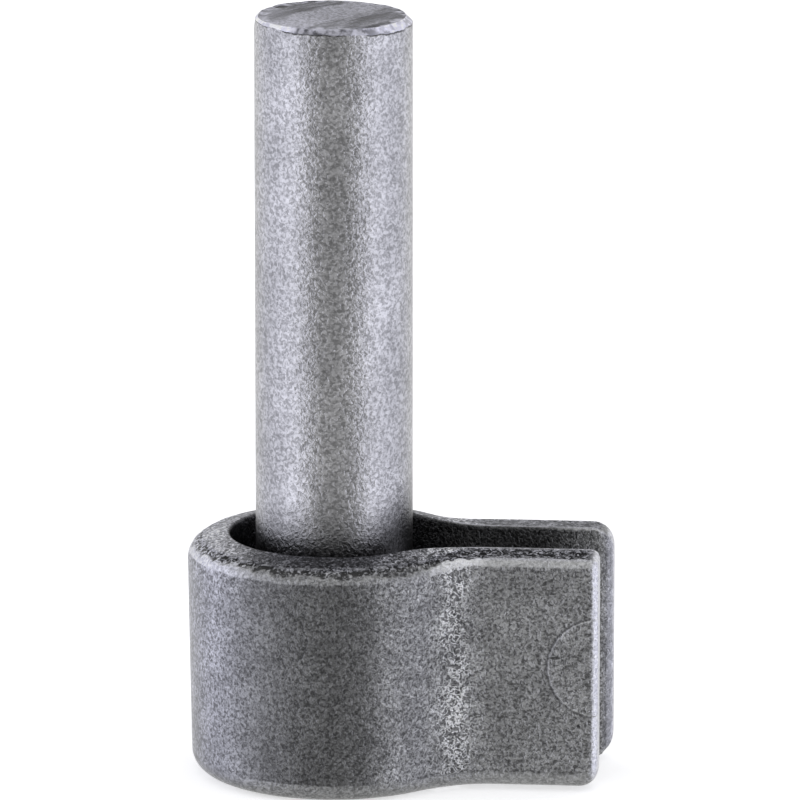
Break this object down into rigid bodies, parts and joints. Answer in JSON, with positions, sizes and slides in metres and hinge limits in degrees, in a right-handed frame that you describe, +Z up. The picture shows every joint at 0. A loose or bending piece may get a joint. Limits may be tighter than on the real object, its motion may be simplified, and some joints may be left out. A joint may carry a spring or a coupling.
{
  "type": "weld-on gate hinge pin",
  "caption": "Plain steel hinge pin standing in the loop of a bent flat strip, whose parallel legs are welded to a post so that a gate's eye can turn on the pin.",
  "frame": {"origin": "on the pin's axis, at the flat foot of the pin, level with the loop's lower edge", "axes": "+Z up along the pin, +X along the strip's legs towards the post that they are welded to"},
  "size_m": [0.0432, 0.03, 0.0785],
  "materials": {
    "pin_steel": "raw bar, fine grain, slightly tumbled",
    "strap_steel": "raw strip, fine speckled grain, burnished edges",
    "weld_steel": "weld metal, dressed"
  },
  "bodies": {
    "root": {"hinge_pin": "pin_steel", "wrap_strap": "strap_steel", "foot_weld": "weld_steel"}
  },
  "joints": []
}
